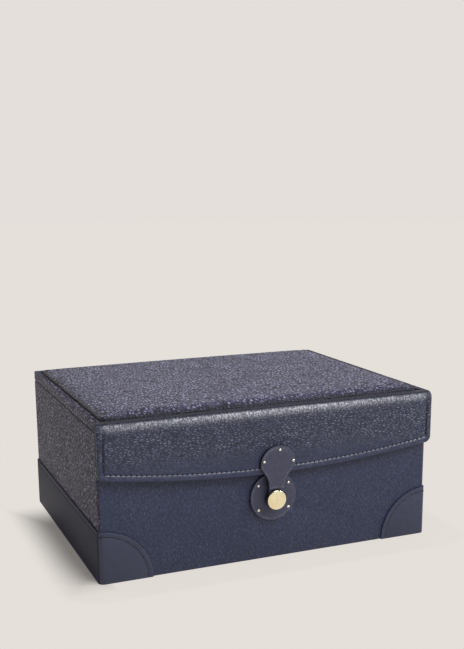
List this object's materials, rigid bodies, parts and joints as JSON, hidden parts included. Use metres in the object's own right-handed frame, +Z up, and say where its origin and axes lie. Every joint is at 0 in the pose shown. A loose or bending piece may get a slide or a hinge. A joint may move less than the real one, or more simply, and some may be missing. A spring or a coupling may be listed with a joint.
{
  "type": "jewellery case",
  "caption": "Leather-covered jewellery case with a padded hinged lid, stitched front flap, push-button clasp, sliding tray and lined compartments.",
  "frame": {"origin": "middle of the underside of the base, where the case stands", "axes": "+X to the right along the front, +Y to the back, +Z up; the front faces -Y"},
  "size_m": [0.2622, 0.2184, 0.118],
  "materials": {
    "leather_navy": "pebbled dark navy leather, semi-matt",
    "leather_side": "smooth dark navy leather band",
    "leather_top": "padded dark navy leather, fine grain",
    "suede_lining": "soft suede lining",
    "suede_roll": "soft suede over foam",
    "base_suede": "dark non-slip suede",
    "carcass_board": "sanded board",
    "foam": "open-cell foam",
    "pale_gold": "polished pale gold plate",
    "brass_hinge": "satin brass",
    "steel": "bright steel",
    "mirror_glass": "silvered glass",
    "mirror_frame": "satin brass frame"
  },
  "bodies": {
    "case_body": {"base_cover": "base_suede", "base_board": "carcass_board", "front_board": "carcass_board", "back_board": "carcass_board", "left_board": "carcass_board", "right_board": "carcass_board", "body_leather": "leather_navy", "left_band": "leather_side", "right_band": "leather_side", "floor_lining": "suede_lining", "front_lining": "suede_lining", "back_lining": "suede_lining", "left_lining": "suede_lining", "right_lining": "suede_lining", "left_runner": "suede_lining", "right_runner": "suede_lining", "long_divider": "suede_lining", "cross_dividers": "suede_lining", "escutcheon_disc": "leather_side", "disc_studs": "pale_gold", "lock_barrel": "brass_hinge", "lock_nut": "brass_hinge", "lock_spring": "steel", "left_hinge_body_leaf": "brass_hinge", "right_hinge_body_leaf": "brass_hinge", "hinge_pins": "steel", "body_hinge_screws": "brass_hinge", "felt_rests": "base_suede"},
    "lid": {"lid_board": "carcass_board", "lid_rim_leather": "leather_side", "lid_foam": "foam", "lid_top_leather": "leather_top", "flap_rail": "carcass_board", "flap_board": "carcass_board", "flap_leather": "leather_navy", "flap_lining": "suede_lining", "keyhole_tab": "leather_side", "tab_studs": "pale_gold", "hasp_plate": "brass_hinge", "lid_lining": "suede_lining", "mirror_frame": "mirror_frame", "mirror_glass": "mirror_glass", "left_hinge_lid_leaf": "brass_hinge", "right_hinge_lid_leaf": "brass_hinge", "lid_hinge_screws": "brass_hinge"},
    "tray": {"tray_floor": "suede_lining", "tray_front_wall": "suede_lining", "tray_back_wall": "suede_lining", "tray_left_wall": "suede_lining", "tray_right_wall": "suede_lining", "tray_lining": "suede_lining", "tray_ring_divider": "suede_lining", "tray_long_divider": "suede_lining", "tray_cross_dividers": "suede_lining", "ring_rolls": "suede_roll"},
    "button": {"push_button": "pale_gold"}
  },
  "joints": [
    {"name": "lid_hinge", "type": "hinge", "parent": "case_body", "child": "lid", "pos_m": [0, 0.1025, 0.1075], "axis": [-1, 0, 0], "range_deg": [0, 100]},
    {"name": "tray_slide", "type": "slide", "parent": "case_body", "child": "tray", "axis": [0, 1, 0], "range_m": [0, 0.0915]},
    {"name": "lock_button", "type": "slide", "parent": "case_body", "child": "button", "axis": [0, 1, 0], "range_m": [0, 0.0012], "stiffness_N_per_m": 900, "springref_m": -0.001, "deforming": ["lock_spring"]}
  ]
}
